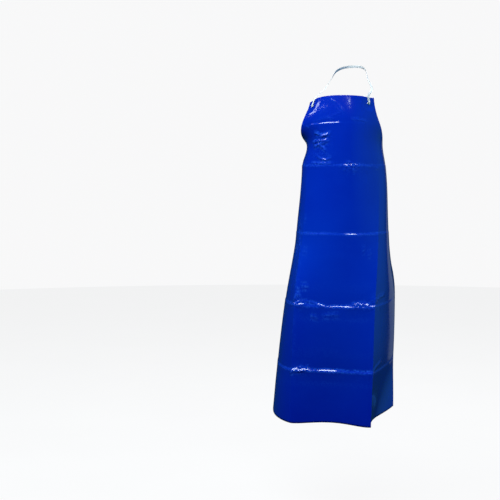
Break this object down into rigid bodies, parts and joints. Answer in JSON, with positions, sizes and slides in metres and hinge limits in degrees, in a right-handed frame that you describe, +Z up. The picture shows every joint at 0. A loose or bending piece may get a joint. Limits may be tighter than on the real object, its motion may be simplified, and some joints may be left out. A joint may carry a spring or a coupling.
{
  "type": "butcher apron",
  "caption": "Long film apron with a bib, shaped as worn round a torso, hung on a flat neck tape threaded through eyelets; waist eyelets at the back corners.",
  "frame": {"origin": "inner middle of the neck tape, where it rests on the back of the wearer's neck", "axes": "+Z up, -Y the way the wearer faces, +X the wearer's left"},
  "size_m": [0.4526, 0.3658, 1.3271],
  "materials": {
    "film": "glossy flexible film",
    "patch": "glossy",
    "nickel": "nickel plated, bright",
    "tape": "woven, matt"
  },
  "bodies": {
    "neck_loop": {"neck_tape": "tape"},
    "apron": {"apron_film": "film", "bib_left_eyelet": "nickel", "bib_left_washer": "nickel", "bib_left_patch": "patch", "bib_right_eyelet": "nickel", "bib_right_washer": "nickel", "bib_right_patch": "patch", "waist_left_eyelet": "nickel", "waist_left_washer": "nickel", "waist_left_patch": "patch", "waist_right_eyelet": "nickel", "waist_right_washer": "nickel", "waist_right_patch": "patch", "neck_tape_end_left": "tape", "neck_tape_end_right": "tape"}
  },
  "joints": [
    {"name": "apron_swing", "type": "hinge", "parent": "neck_loop", "child": "apron", "pos_m": [-0.01674, -0.14454, -0.15119], "axis": [0.9991, 0.0319, 0.0292], "range_deg": [-75, 0]}
  ]
}
